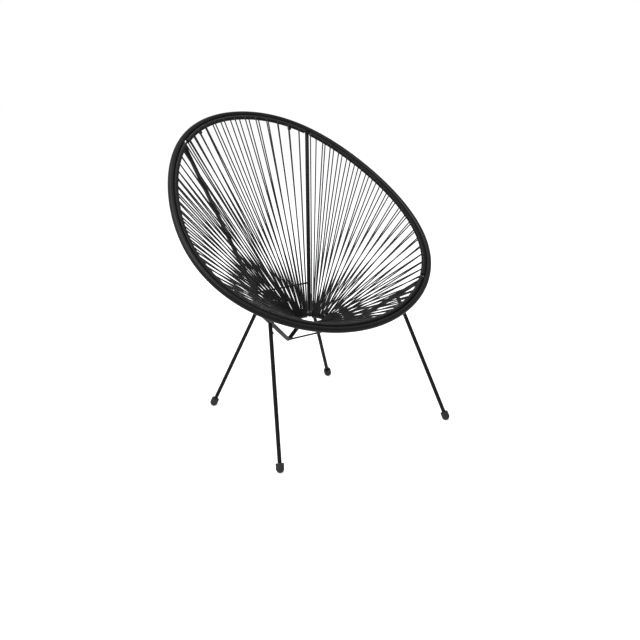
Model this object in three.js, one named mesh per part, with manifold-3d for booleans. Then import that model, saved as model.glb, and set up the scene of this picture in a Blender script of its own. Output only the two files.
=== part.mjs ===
// Garden lounge chair with a round corded bucket seat on a welded rod frame.
// Millimetres, +Z up, the sitter looks along -Y, and the floor is z = 0.
import * as THREE from "three";
import { mergeVertices } from "three/addons/utils/BufferGeometryUtils.js";
import Module from "manifold-3d";

const wasm = await Module();
wasm.setup();

// Seat rim: a flat egg-shaped loop, narrow end up, leaning back, placed from the ring
const rimHalfLength = 405.6;
const rimHalfWidth = 363.5;
const rimEggShares = [1, -0.161, 0.041, 0.083];
const rimLean = THREE.MathUtils.degToRad(36.5);
const rimMiddleBack = 63.5;
const rimMiddleRise = 292.6;
const rimTubeRadius = 8;
const cordRodRadius = 3;
const cordPassage = 4.8;

// Small ring that gathers the cord at the bottom of the seat
const ringRadius = 46;
const ringRodRadius = 4;
const ringHeight = 280;

// Four struts from the rim down to a low bend below the ring and up again to it
const strutRadius = 5.8;
const strutBendRadius = 15;
const frontStrut = { rimAngle: THREE.MathUtils.degToRad(137.3), lowX: 96.5, lowY: -35, lowDrop: 30 };
const rearStrut = { rimAngle: THREE.MathUtils.degToRad(39.2), lowX: 70, lowY: 105, lowDrop: 20 };

// Thin tie rods across each pair of struts, placed by their rise above the low bends
const tieRodRadius = 2.5;
const frontTieRise = 0;
const rearTieRise = 80;

// Legs: straight rods, each bored at the top to slide over a pin welded under
// its strut and held there by a pan-head screw, with rubber caps on the feet
const legRadius = 5.5;
const frontLeg = { footX: 280, footY: -270, jointRise: 96 };
const rearLeg = { footX: 206, footY: 200, jointRise: 51 };
const legTopDrop = 3;
const pinRadius = 3.5;
const pinLength = 48;
const screwDrop = 28;
const screwTip = 2;
const screwRadius = 1.8;
const screwHeadRadius = 3.6;
const screwHeadHeight = 2;
const screwHeadTopShare = 0.8;
const capRadius = 11;
const capLength = 25;
const capShoulder = 1.5;
const capBottomWall = 7;
const capFlat = 0.7;

// Lacing: one cord per panel, to and fro between the rim rod and the ring
const cordRadius = 1.9;
const cordTail = 2 * cordRadius;
const ringLayerStep = 3.95;
const strutLaneOnRod = 20;
const strutLaneOnRing = 16;
const backLoops = 13;
const sideLoops = 21;
const sideLoopsAheadOfArm = 6;
const frontLoops = 18;
const backPanels = 2;
const sidePanels = 4;
const frontPanels = 3;
const loopWidthShare = 0.45;

// Clearances
const weldGap = 0.3;
const slideGap = 0.3;
const cordGap = 0.3;
const cutOverrun = 2;

// Facets
const rimSteps = 76;
const rimSides = 10;
const rodSides = 8;
const ringSteps = 36;
const strutSides = 10;
const strutBendSteps = 6;
const legSides = 12;
const screwSides = 12;
const capRoundSteps = 5;
const wrapSteps = 4;
const cordSides = 5;

// Numerical limits: rounding along a path, parallel lines and merging of corners
const roundingShare = 1e-6;
const parallelLimit = 1e-9;
const mergeDistance = 1e-4;

const UP = new THREE.Vector3(0, 0, 1);

const coat = { color: 0x1d1e1f, roughness: 0.42, metalness: 0.35 };
const cordPlastic = { color: 0x161718, roughness: 0.38, metalness: 0 };
const rubber = { color: 0x121212, roughness: 0.7, metalness: 0 };
const zinc = { color: 0x2a2b2c, roughness: 0.35, metalness: 0.85 };

const chair = new THREE.Group();

function add(name, geometry, look) {
  const mesh = new THREE.Mesh(geometry, new THREE.MeshStandardMaterial(look));
  mesh.name = name;
  chair.add(mesh);
  return mesh;
}

// A path whose steps fall on the given points, whatever their spacing
class StationPath extends THREE.Curve {
  constructor(points) {
    super();
    this.points = points;
  }

  getPoint(t, target = new THREE.Vector3()) {
    const last = this.points.length - 1;
    const place = Math.min(Math.max(t, 0), 1) * last;
    const i = Math.min(Math.floor(place + roundingShare), last - 1);
    return target.lerpVectors(this.points[i], this.points[i + 1], place - i);
  }

  getPointAt(u, target) {
    return this.getPoint(u, target);
  }

  getTangentAt(u, target = new THREE.Vector3()) {
    const last = this.points.length - 1;
    const i = Math.round(u * last);
    const before = this.points[Math.max(i, 1) - 1];
    const here = this.points[i];
    const after = this.points[Math.min(i, last - 1) + 1];
    target.set(0, 0, 0);
    if (i > 0) target.add(here.clone().sub(before).normalize());
    if (i < last) target.add(after.clone().sub(here).normalize());
    return target.normalize();
  }
}

function roundShape(radius, sides) {
  const shape = new THREE.Shape();
  for (let i = 0; i < sides; i += 1) {
    const a = (2 * Math.PI * i) / sides;
    const x = radius * Math.cos(a);
    const y = radius * Math.sin(a);
    if (i === 0) shape.moveTo(x, y);
    else shape.lineTo(x, y);
  }
  shape.closePath();
  return shape;
}

// Round bar of the given radius along a list of points
function bar(points, radius, sides) {
  return new THREE.ExtrudeGeometry(roundShape(radius, sides), {
    steps: points.length - 1,
    extrudePath: new StationPath(points),
    bevelEnabled: false,
  });
}

function toManifold(geometry) {
  let g = geometry.index ? geometry.toNonIndexed() : geometry.clone();
  g.deleteAttribute("normal");
  if (g.attributes.uv) g.deleteAttribute("uv");
  g = mergeVertices(g, mergeDistance);
  return new wasm.Manifold(new wasm.Mesh({
    numProp: 3,
    vertProperties: new Float32Array(g.attributes.position.array),
    triVerts: new Uint32Array(g.index.array),
  }));
}

function toGeometry(solid) {
  const mesh = solid.getMesh();
  const g = new THREE.BufferGeometry();
  g.setAttribute("position", new THREE.BufferAttribute(new Float32Array(mesh.vertProperties), 3));
  g.setIndex(new THREE.BufferAttribute(new Uint32Array(mesh.triVerts), 1));
  g.computeVertexNormals();
  return g;
}

function cut(geometry, tools) {
  let solid = toManifold(geometry);
  for (const tool of tools) solid = solid.subtract(toManifold(tool));
  return toGeometry(solid);
}

// Turn a shape made along +Z so that it runs from a point along a direction
function place(geometry, from, direction) {
  const turn = new THREE.Quaternion().setFromUnitVectors(UP, direction.clone().normalize());
  return geometry.applyQuaternion(turn).translate(from.x, from.y, from.z);
}

// The rim's own plane: across, along the lean, and square to both, towards the sitter
const rimMiddle = new THREE.Vector3(0, rimMiddleBack, ringHeight + rimMiddleRise);
const rimAcross = new THREE.Vector3(1, 0, 0);
const rimAlong = new THREE.Vector3(0, Math.cos(rimLean), Math.sin(rimLean));
const rimNormal = new THREE.Vector3(0, -Math.sin(rimLean), Math.cos(rimLean));

// Centre line of the rim, angle 0 at the top, pushed inwards in its plane
function eggPoint(angle, inset) {
  const c = Math.cos(angle);
  const s = Math.sin(angle);
  const fullness = rimEggShares.reduce((sum, share, power) => sum + share * c ** power, 0);
  const slope = rimEggShares.slice(1)
    .reduce((sum, share, power) => sum - (power + 1) * share * c ** power * s, 0);
  const dAcross = rimHalfWidth * (c * fullness + s * slope);
  const dAlong = -rimHalfLength * s;
  const size = Math.hypot(dAcross, dAlong);
  return {
    across: rimHalfWidth * s * fullness + (inset * dAlong) / size,
    along: rimHalfLength * c - (inset * dAcross) / size,
    tangentAcross: dAcross / size,
    tangentAlong: dAlong / size,
  };
}

function inRimPlane(across, along) {
  return rimAcross.clone().multiplyScalar(across).addScaledVector(rimAlong, along);
}

function rimPlace(angle, inset) {
  const e = eggPoint(angle, inset);
  const tangent = inRimPlane(e.tangentAcross, e.tangentAlong);
  return {
    point: inRimPlane(e.across, e.along).add(rimMiddle),
    tangent,
    inward: tangent.clone().cross(rimNormal),
  };
}

class EggLoop extends THREE.Curve {
  constructor(inset) {
    super();
    this.inset = inset;
  }

  getPoint(t, target = new THREE.Vector3()) {
    return target.copy(rimPlace(2 * Math.PI * t, this.inset).point);
  }
}

// A closed loop has no ends, so it needs no caps
function loopBar(inset, radius, sides) {
  return new THREE.TubeGeometry(new EggLoop(inset), rimSteps, radius, sides, true);
}

function ringBar(radius) {
  return new THREE.TorusGeometry(ringRadius, radius, rodSides, ringSteps).translate(0, 0, ringHeight);
}

const cordRodInset = rimTubeRadius + cordPassage + cordRodRadius;

add("rim_tube", loopBar(0, rimTubeRadius, rimSides), coat);
add("rim_cord_rod", loopBar(cordRodInset, cordRodRadius, rodSides), coat);
add("centre_ring", ringBar(ringRodRadius), coat);

function ringPoint(angle) {
  return new THREE.Vector3(ringRadius * Math.sin(angle), ringRadius * Math.cos(angle), ringHeight);
}

// Upper end of a strut: its line from the low bend passes just under the cord
// rod at the wanted angle and runs on to the side of the rim tube
function strutRimEnd(low, rimAngle) {
  const tube = rimPlace(rimAngle, 0);
  const rod = rimPlace(rimAngle, cordRodInset);
  const reach = cordRodRadius + strutRadius + weldGap;
  const flat = (v) => new THREE.Vector2(v.dot(tube.inward), v.dot(rimNormal));
  const fromRod = flat(low.clone().sub(rod.point));
  const far = fromRod.lengthSq();
  const toRod = Math.sqrt(far - reach ** 2);
  const touch = fromRod.clone().multiplyScalar(reach ** 2 / far)
    .add(new THREE.Vector2(fromRod.y, -fromRod.x).multiplyScalar((reach * toRod) / far));
  const run = touch.sub(fromRod).normalize();
  const toTube = flat(tube.point.clone().sub(low)).dot(run);
  const sideways = rod.point.clone().sub(low).dot(tube.tangent);
  return low.clone()
    .addScaledVector(tube.inward, run.x * toTube)
    .addScaledVector(rimNormal, run.y * toTube)
    .addScaledVector(tube.tangent, (sideways * toTube) / toRod);
}

// Two straight stretches with a round bend where they meet
function bentPath(start, corner, end, radius) {
  const a = start.clone().sub(corner).normalize();
  const b = end.clone().sub(corner).normalize();
  const half = a.angleTo(b) / 2;
  const back = radius / Math.tan(half);
  const centre = a.clone().add(b).normalize().multiplyScalar(radius / Math.sin(half)).add(corner);
  const from = corner.clone().addScaledVector(a, back).sub(centre);
  const to = corner.clone().addScaledVector(b, back).sub(centre);
  const axis = from.clone().cross(to).normalize();
  const sweep = from.angleTo(to);
  const points = [start.clone()];
  for (let i = 0; i <= strutBendSteps; i += 1) {
    points.push(from.clone().applyAxisAngle(axis, (sweep * i) / strutBendSteps).add(centre));
  }
  points.push(end.clone());
  return points;
}

function strutLine(spec, side) {
  const low = new THREE.Vector3(side * spec.lowX, spec.lowY, ringHeight - spec.lowDrop);
  const ringAngle = Math.atan2(low.x, low.y);
  const rimEnd = strutRimEnd(low, side * spec.rimAngle);
  return { low, rimEnd, ringAngle, points: bentPath(rimEnd, low, ringPoint(ringAngle), strutBendRadius) };
}

const places = [];
for (const [row, strut, leg] of [["front", frontStrut, frontLeg], ["rear", rearStrut, rearLeg]]) {
  for (const [hand, side] of [["left", -1], ["right", 1]]) {
    places.push({ name: `${row}_${hand}`, row, side, leg, line: strutLine(strut, side) });
  }
}

for (const p of places) {
  const rod = bar(p.line.points, strutRadius, strutSides);
  const seats = [loopBar(0, rimTubeRadius + weldGap, rimSides), ringBar(ringRodRadius + weldGap)];
  add(`strut_${p.name}`, cut(rod, seats), coat);
}

// Point of a strut's long stretch at a rise above its low bend
function onStrut(line, rise) {
  return line.low.clone().lerp(line.rimEnd, rise / (line.rimEnd.z - line.low.z));
}

function tieRod(row, rise) {
  const pair = places.filter((p) => p.row === row);
  const ends = pair.map((p) => onStrut(p.line, rise));
  const struts = pair.map((p) => bar(p.line.points, strutRadius + weldGap, strutSides));
  return cut(bar(ends, tieRodRadius, rodSides), struts);
}

add("tie_rod_front", tieRod("front", frontTieRise), coat);
add("tie_rod_rear", tieRod("rear", rearTieRise), coat);

// Profile points (radius, height) turned about +Z
function turned(profile, sides) {
  const outline = profile.map(([r, z]) => new THREE.Vector2(r, z));
  return new THREE.LatheGeometry(outline, sides).rotateX(Math.PI / 2);
}

function rod(radius, length) {
  return turned([
    [0, 0],
    [radius, 0],
    [radius, length],
    [0, length],
  ], legSides);
}

function screwHole(from, along) {
  const radius = screwRadius + slideGap;
  const hole = turned([
    [0, 0],
    [radius, 0],
    [radius, legRadius + cutOverrun],
    [0, legRadius + cutOverrun],
  ], screwSides);
  return place(hole, from, along);
}

// Pin: welded square under the strut, with a threaded hole for the screw
function legPin(line, joint, down, screwFrom, screwAlong) {
  const strut = bar(line.points, strutRadius + weldGap, strutSides);
  return cut(place(rod(pinRadius, pinLength), joint, down), [strut, screwHole(screwFrom, screwAlong)]);
}

// Leg: bored to slide over the pin, its end notched round the strut
function legRod(line, joint, foot, up, screwFrom, screwAlong) {
  const length = joint.distanceTo(foot);
  const bottom = capBottomWall - capRadius + slideGap;
  const bore = pinRadius + slideGap;
  const boreFloor = length - pinLength - slideGap;
  const tube = place(turned([
    [0, bottom],
    [legRadius, bottom],
    [legRadius, length - legTopDrop],
    [bore, length - legTopDrop],
    [bore, boreFloor],
    [0, boreFloor],
  ], legSides), foot, up);
  const strut = bar(line.points, strutRadius + slideGap, strutSides);
  return cut(tube, [strut, screwHole(screwFrom, screwAlong)]);
}

// Pan-head screw, tip first
function screw(from, along) {
  const seat = legRadius + slideGap;
  return place(turned([
    [0, screwTip],
    [screwRadius, screwTip],
    [screwRadius, seat],
    [screwHeadRadius, seat],
    [screwHeadRadius * screwHeadTopShare, seat + screwHeadHeight],
    [0, seat + screwHeadHeight],
  ], screwSides), from, along);
}

// Rubber cap: flat shoulder, short straight wall and a round sole cut flat
// where it stands on the floor
function footCap(foot, up) {
  const profile = [];
  for (let i = 0; i <= capRoundSteps; i += 1) {
    const a = (Math.PI / 2) * (i / capRoundSteps);
    profile.push([capRadius * Math.sin(a), -capRadius * Math.cos(a)]);
  }
  const top = capLength - capRadius;
  const floorOfBore = capBottomWall - capRadius;
  profile.push(
    [capRadius, top - capShoulder],
    [capRadius - capShoulder, top],
    [legRadius + slideGap, top],
    [legRadius + slideGap, floorOfBore],
    [0, floorOfBore],
  );
  const cap = place(turned(profile, legSides), foot, up);
  const below = new THREE.BoxGeometry(4 * capRadius, 4 * capRadius, 2 * capRadius);
  below.translate(foot.x, foot.y, -capRadius);
  return cut(cap, [below]);
}

for (const p of places) {
  const foot = new THREE.Vector3(p.side * p.leg.footX, p.leg.footY, capRadius - capFlat);
  const joint = onStrut(p.line, p.leg.jointRise);
  const up = joint.clone().sub(foot).normalize();
  const down = up.clone().negate();
  const screwFrom = joint.clone().addScaledVector(down, screwDrop);
  const inner = new THREE.Vector3(-foot.x, 0, 0).projectOnPlane(up).normalize();
  add(`leg_pin_${p.name}`, legPin(p.line, joint, down, screwFrom, inner), coat);
  add(`leg_${p.name}`, legRod(p.line, joint, foot, up, screwFrom, inner), coat);
  add(`leg_screw_${p.name}`, screw(screwFrom, inner), zinc);
  add(`foot_cap_${p.name}`, footCap(foot, up), rubber);
}

// Arc length along the cord rod, so that loops are spaced evenly on it
const rodLengths = [0];
const rodSamples = 720;
for (let i = 1; i <= rodSamples; i += 1) {
  const a = rimPlace((2 * Math.PI * (i - 1)) / rodSamples, cordRodInset).point;
  const b = rimPlace((2 * Math.PI * i) / rodSamples, cordRodInset).point;
  rodLengths.push(rodLengths[i - 1] + a.distanceTo(b));
}
const rodTotal = rodLengths[rodSamples];

function lengthAtAngle(angle) {
  const place = (angle / (2 * Math.PI)) * rodSamples;
  const i = Math.floor(place);
  return THREE.MathUtils.lerp(rodLengths[i], rodLengths[Math.min(i + 1, rodSamples)], place - i);
}

function angleAtLength(length) {
  const wanted = THREE.MathUtils.euclideanModulo(length, rodTotal);
  let i = rodLengths.findIndex((value) => value > wanted) - 1;
  if (i < 0) i = rodSamples - 1;
  const share = (wanted - rodLengths[i]) / (rodLengths[i + 1] - rodLengths[i]);
  return (2 * Math.PI * (i + share)) / rodSamples;
}

// A point of a wrap round a rod: centre, inward and upward directions, turn
function wrapPoint(frame, radius, turn) {
  return frame.point.clone()
    .addScaledVector(frame.inward, radius * Math.cos(turn))
    .addScaledVector(frame.top, radius * Math.sin(turn));
}

// Wrap frames stand square to the rod, with "inward" towards the free cord run
function rimFrame(length, ringAngle) {
  const at = rimPlace(angleAtLength(length), cordRodInset);
  const inward = ringPoint(ringAngle).sub(at.point).projectOnPlane(at.tangent).normalize();
  const top = at.tangent.clone().cross(inward).normalize();
  if (top.dot(rimNormal) < 0) top.negate();
  return { point: at.point, inward, top };
}

function ringFrame(ringAngle, length) {
  const point = ringPoint(ringAngle);
  const along = new THREE.Vector3(Math.cos(ringAngle), -Math.sin(ringAngle), 0);
  const at = rimPlace(angleAtLength(length), cordRodInset);
  const inward = at.point.clone().sub(point).projectOnPlane(along).normalize();
  const top = along.clone().cross(inward).normalize();
  if (top.z < 0) top.negate();
  return { point, inward, top };
}

const chordStretch = 1 / Math.cos(Math.PI / (2 * wrapSteps));
const rimWrapRadius = (cordRodRadius + cordGap + cordRadius) * chordStretch;
const ringWrapRadius = (ringRodRadius + cordGap + cordRadius) * chordStretch;

// One panel of lacing. Loop j runs in over the rod to the top of the ring,
// round the ring's inside, back under everything and round the rod again.
function lacingPoints(panelLoops) {
  const points = [];
  const first = panelLoops[0];
  const start = rimFrame(first.rimBefore, first.ringIn);
  points.push(wrapPoint(start, rimWrapRadius, -Math.PI / 2).addScaledVector(start.inward, cordTail));
  panelLoops.forEach((loop, j) => {
    const before = j === 0 ? loop.rimBefore : panelLoops[j - 1].rimOut;
    for (let i = 0; i <= wrapSteps; i += 1) {
      const share = i / wrapSteps;
      const frame = rimFrame(THREE.MathUtils.lerp(before, loop.rimIn, share), loop.ringIn);
      points.push(wrapPoint(frame, rimWrapRadius, -Math.PI / 2 - Math.PI * share));
    }
    for (let i = 0; i <= wrapSteps; i += 1) {
      const share = i / wrapSteps;
      const frame = ringFrame(THREE.MathUtils.lerp(loop.ringIn, loop.ringOut, share), loop.rimIn);
      const radius = ringWrapRadius + loop.layer * ringLayerStep;
      points.push(wrapPoint(frame, radius, Math.PI / 2 + Math.PI * share));
    }
  });
  const last = panelLoops[panelLoops.length - 1];
  for (let i = 0; i <= wrapSteps; i += 1) {
    const share = i / wrapSteps;
    const frame = rimFrame(THREE.MathUtils.lerp(last.rimOut, last.rimAfter, share), last.ringOut);
    points.push(wrapPoint(frame, rimWrapRadius, -Math.PI / 2 - Math.PI * share));
  }
  const end = rimFrame(last.rimAfter, last.ringOut);
  points.push(wrapPoint(end, rimWrapRadius, Math.PI / 2).addScaledVector(end.inward, cordTail));
  return points;
}

// Where the struts meet the cord rod and the ring, going round from the rear left one
const marks = ["rear_left", "rear_right", "front_right", "front_left", "rear_left"].map((name, i) => {
  const p = places.find((q) => q.name === name);
  const spec = p.row === "front" ? frontStrut : rearStrut;
  const turn = (angle) => (i === 0 ? angle : THREE.MathUtils.euclideanModulo(angle, 2 * Math.PI));
  const rimAngle = turn(p.side * spec.rimAngle);
  const length = Math.sign(rimAngle) * lengthAtAngle(Math.abs(rimAngle));
  return { length, ringAngle: turn(p.line.ringAngle) };
});

// Cells of equal width between two struts, clear of both
function cells(counts, key, lane) {
  return counts.flatMap((count, i) => {
    const from = marks[i][key] + lane / 2;
    const width = (marks[i + 1][key] - lane / 2 - from) / count;
    return Array.from({ length: count }, (_, j) => ({ middle: from + width * (j + 0.5), width }));
  });
}

const sections = [
  { name: "lacing_back", loops: backLoops, panels: backPanels, onArc: backLoops },
  { name: "lacing_right", loops: sideLoops, panels: sidePanels, onArc: sideLoops - sideLoopsAheadOfArm },
  {
    name: "lacing_front",
    loops: frontLoops,
    panels: frontPanels,
    onArc: frontLoops + 2 * sideLoopsAheadOfArm,
  },
  { name: "lacing_left", loops: sideLoops, panels: sidePanels, onArc: sideLoops - sideLoopsAheadOfArm },
];

const rodCells = cells(sections.map((s) => s.loops), "length", strutLaneOnRod);
const ringCells = cells(sections.map((s) => s.onArc), "ringAngle", strutLaneOnRing / ringRadius);

const loops = rodCells.map((rod, j) => ({
  rimBefore: rod.middle - rod.width / 2,
  rimIn: rod.middle - (rod.width * loopWidthShare) / 2,
  rimOut: rod.middle + (rod.width * loopWidthShare) / 2,
  rimAfter: rod.middle + rod.width / 2,
  ringIn: ringCells[j].middle - ringCells[j].width / 4,
  ringOut: ringCells[j].middle + ringCells[j].width / 4,
  layer: j % 2,
}));

const lacing = [];
let done = 0;
for (const section of sections) {
  for (let k = 0; k < section.panels; k += 1) {
    const from = done + Math.round((section.loops * k) / section.panels);
    const to = done + Math.round((section.loops * (k + 1)) / section.panels);
    lacing.push({ name: `${section.name}_${k + 1}`, points: lacingPoints(loops.slice(from, to)) });
  }
  done += section.loops;
}

for (const panel of lacing) add(panel.name, bar(panel.points, cordRadius, cordSides), cordPlastic);

// Least clear space between cord stretches that don't follow one another
function segmentGap(p1, q1, p2, q2) {
  const d1 = q1.clone().sub(p1);
  const d2 = q2.clone().sub(p2);
  const r = p1.clone().sub(p2);
  const a = d1.dot(d1);
  const e = d2.dot(d2);
  const f = d2.dot(r);
  const b = d1.dot(d2);
  const c = d1.dot(r);
  const denominator = a * e - b * b;
  let s = denominator > parallelLimit ? THREE.MathUtils.clamp((b * f - c * e) / denominator, 0, 1) : 0;
  const t = THREE.MathUtils.clamp((b * s + f) / e, 0, 1);
  s = THREE.MathUtils.clamp((b * t - c) / a, 0, 1);
  return p1.clone().addScaledVector(d1, s).distanceTo(p2.clone().addScaledVector(d2, t));
}

function leastGap(first, second) {
  let least = Infinity;
  for (let i = 0; i + 1 < first.length; i += 1) {
    for (let j = first === second ? i + 3 : 0; j + 1 < second.length; j += 1) {
      least = Math.min(least, segmentGap(first[i], first[i + 1], second[j], second[j + 1]));
    }
  }
  return least - 2 * cordRadius;
}

lacing.forEach((panel, i) => {
  const next = lacing[(i + 1) % lacing.length];
  const own = leastGap(panel.points, panel.points).toFixed(2);
  const beside = leastGap(panel.points, next.points).toFixed(2);
  console.log(`${panel.name}: least gap to itself ${own} mm, to ${next.name} ${beside} mm`);
});

// The origin lies on the floor under the middle of the chair's outline
const outline = new THREE.Box3().setFromObject(chair);
chair.position.y = -(outline.min.y + outline.max.y) / 2;

export default chair;
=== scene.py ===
import math
import random

import bmesh
import bpy
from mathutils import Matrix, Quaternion, Vector


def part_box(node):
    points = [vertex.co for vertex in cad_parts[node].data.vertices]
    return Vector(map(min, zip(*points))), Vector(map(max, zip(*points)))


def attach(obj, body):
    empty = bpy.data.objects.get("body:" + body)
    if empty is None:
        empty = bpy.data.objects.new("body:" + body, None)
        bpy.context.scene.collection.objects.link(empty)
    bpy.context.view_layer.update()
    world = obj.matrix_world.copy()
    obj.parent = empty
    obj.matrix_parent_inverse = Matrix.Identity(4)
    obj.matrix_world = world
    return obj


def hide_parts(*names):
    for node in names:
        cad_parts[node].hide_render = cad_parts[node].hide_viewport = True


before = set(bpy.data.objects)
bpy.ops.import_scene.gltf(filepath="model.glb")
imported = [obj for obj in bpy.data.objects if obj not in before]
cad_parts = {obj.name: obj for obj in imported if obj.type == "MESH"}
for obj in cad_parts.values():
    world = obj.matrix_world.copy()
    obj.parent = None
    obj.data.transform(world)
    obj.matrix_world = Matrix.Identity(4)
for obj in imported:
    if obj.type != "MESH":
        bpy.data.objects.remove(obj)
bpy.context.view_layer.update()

# Camera: it stands at the sitter's right-hand front, higher than the rim, and looks down
# into the seat. The lens and the small shift give the photograph's framing.
CAMERA_PLACE = (-1.4597, -2.16816, 1.1227)
CAMERA_TILT = math.radians(72.2288)
CAMERA_TURN = math.radians(-35.3217)
CAMERA_LENS = 54.06
CAMERA_SENSOR = 36
CAMERA_SHIFT = (-0.0005, -0.0116)

camera_data = bpy.data.cameras.new("camera")
camera_data.sensor_width = CAMERA_SENSOR
camera_data.lens = CAMERA_LENS
camera_data.shift_x, camera_data.shift_y = CAMERA_SHIFT
camera = bpy.data.objects.new("camera", camera_data)
camera.location = CAMERA_PLACE
camera.rotation_euler = (CAMERA_TILT, 0, CAMERA_TURN)
bpy.context.scene.collection.objects.link(camera)
bpy.context.scene.camera = camera
bpy.context.scene.view_settings.view_transform = "Standard"

# Studio: a plain white floor that runs out to a white surround. Both look white to the
# camera and in the gloss of the coat, and the floor still takes the chair's soft shadow.
FLOOR_RADIUS = 9
FLOOR_SIDES = 96
FLOOR_BELOW_FEET = 0.0002
FLOOR_WHITE = (0.86, 0.86, 0.86, 1)
FLOOR_LIFT = 0.6
DOME_COLOUR = (0.95, 0.97, 1, 1)
DOME_STRENGTH = 0.5
SOFTBOXES = {
    "softbox_above": {"place": (-0.7, -0.2, 2.7), "size": 1.7, "power": 78},
    "softbox_side": {"place": (-2.4, 0.6, 1.9), "size": 1.2, "power": 24},
}
SOFTBOX_AIM = Vector((0, 0, 0.45))
NODE_SPACING = 190


def add_node(tree, kind, inputs=None, **settings):
    """Adds a node with its settings. Each input gets a value, or the output that feeds it."""
    node = tree.nodes.new(kind)
    node.location = (NODE_SPACING * len(tree.nodes), 0)
    for name, value in settings.items():
        setattr(node, name, value)
    for key, value in (inputs or {}).items():
        if isinstance(value, bpy.types.NodeSocket):
            tree.links.new(value, node.inputs[key])
        else:
            node.inputs[key].default_value = value
    return node


def seen_directly(tree):
    """1 for what the camera sees, also in gloss or through glass, and 0 for light on surfaces."""
    path = add_node(tree, "ShaderNodeLightPath")
    seen = add_node(tree, "ShaderNodeMath", {
        0: path.outputs["Is Camera Ray"], 1: path.outputs["Is Glossy Ray"]}, operation="ADD")
    both = add_node(tree, "ShaderNodeMath", {
        0: seen.outputs[0], 1: path.outputs["Is Transmission Ray"]}, operation="ADD", use_clamp=True)
    return both.outputs[0]


def link(obj):
    bpy.context.scene.collection.objects.link(obj)
    return obj


world = bpy.data.worlds.new("white_studio")
world.use_nodes = True
bpy.context.scene.world = world
surround = world.node_tree
surround.nodes.clear()
dome = add_node(surround, "ShaderNodeBackground", {"Color": DOME_COLOUR, "Strength": DOME_STRENGTH})
white = add_node(surround, "ShaderNodeBackground", {"Color": (1, 1, 1, 1), "Strength": 1})
surround_mix = add_node(surround, "ShaderNodeMixShader", {
    0: seen_directly(surround), 1: dome.outputs[0], 2: white.outputs[0]})
add_node(surround, "ShaderNodeOutputWorld", {"Surface": surround_mix.outputs[0]})

floor_paint = bpy.data.materials.new("studio_floor")
floor_paint.use_nodes = True
paint = floor_paint.node_tree
paint.nodes.clear()
matt = add_node(paint, "ShaderNodeBsdfDiffuse", {"Color": FLOOR_WHITE})
lift = add_node(paint, "ShaderNodeMath", {0: seen_directly(paint), 1: FLOOR_LIFT}, operation="MULTIPLY")
glow = add_node(paint, "ShaderNodeEmission", {"Strength": lift.outputs[0]})
floor_mix = add_node(paint, "ShaderNodeAddShader", {0: matt.outputs[0], 1: glow.outputs[0]})
add_node(paint, "ShaderNodeOutputMaterial", {"Surface": floor_mix.outputs[0]})

floor_mesh = bpy.data.meshes.new("floor")
floor_disc = bmesh.new()
bmesh.ops.create_circle(floor_disc, cap_ends=True, segments=FLOOR_SIDES, radius=FLOOR_RADIUS)
bmesh.ops.translate(floor_disc, verts=floor_disc.verts, vec=(0, 0, -FLOOR_BELOW_FEET))
floor_disc.to_mesh(floor_mesh)
floor_disc.free()
floor_mesh.materials.append(floor_paint)
link(bpy.data.objects.new("floor", floor_mesh))

for name, box in SOFTBOXES.items():
    lamp = bpy.data.lights.new(name, "AREA")
    lamp.shape = "DISK"
    lamp.size = box["size"]
    lamp.energy = box["power"]
    stand = link(bpy.data.objects.new(name, lamp))
    stand.location = box["place"]
    stand.rotation_euler = (SOFTBOX_AIM - Vector(box["place"])).to_track_quat("-Z", "Y").to_euler()

# Seat rim: the outer loop is steel tube and the cord rod inside it is solid steel rod. Both
# are bent to one flat egg shape, narrow end up, welded closed and powder-coated black.
RIM_HALF_LENGTH = 0.4056
RIM_HALF_WIDTH = 0.3635
RIM_EGG_SHARES = (1, -0.161, 0.041, 0.083)
RIM_LEAN = math.radians(36.5)
RIM_BACK_OF_RING = 0.0635
RIM_ABOVE_RING = 0.2926
RIM_TUBE_RADIUS = 0.008
CORD_ROD_RADIUS = 0.003
CORD_PASSAGE = 0.0035
CORD_ROD_INSET = RIM_TUBE_RADIUS + CORD_PASSAGE + CORD_ROD_RADIUS
RIM_STATIONS = 360
RIM_SIDES = 28
ROD_SIDES = 20
ROD_SHARPEST_SMOOTHED = math.radians(50)
GRAIN_NOISE = {"Detail": 3, "Roughness": 0.55}
PATCH_NOISE = {"Detail": 4, "Roughness": 0.6}
PATCH_FADE = {"From Min": 0.32, "From Max": 0.68}
GLOSS_FADE = {"From Min": 0.4, "From Max": 1.6}
COAT_COLOURS = ((0.0034, 0.0034, 0.0036, 1), (0.0062, 0.0062, 0.0065, 1))
COAT_GRAIN = 0.0011
COAT_DEPTH = 0.00005
COAT_ROUGHNESS = (0.36, 0.5)
COAT_SHINE = 0.105
FRAME_COAT_PATCH = 0.06

ring_low, ring_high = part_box("centre_ring")
RING_CENTRE = (ring_low + ring_high) / 2
RIM_MIDDLE = RING_CENTRE + Vector((0, RIM_BACK_OF_RING, RIM_ABOVE_RING))
RIM_ALONG = Vector((0, math.cos(RIM_LEAN), math.sin(RIM_LEAN)))
RIM_NORMAL = Vector((0, -math.sin(RIM_LEAN), math.cos(RIM_LEAN)))


def rim_place(angle, inset):
    """Point, tangent and inward direction at an angle from the top, on the rim or inset from it."""
    c, s = math.cos(angle), math.sin(angle)
    fullness = sum(share * c ** power for power, share in enumerate(RIM_EGG_SHARES))
    slope = -s * sum(power * share * c ** (power - 1) for power, share in enumerate(RIM_EGG_SHARES) if power)
    turn = Vector((RIM_HALF_WIDTH * (c * fullness + s * slope), -RIM_HALF_LENGTH * s)).normalized()
    across = RIM_HALF_WIDTH * s * fullness + inset * turn.y
    along = RIM_HALF_LENGTH * c - inset * turn.x
    tangent = Vector((turn.x, 0, 0)) + RIM_ALONG * turn.y
    return RIM_MIDDLE + Vector((across, 0, 0)) + RIM_ALONG * along, tangent, tangent.cross(RIM_NORMAL)


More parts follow.
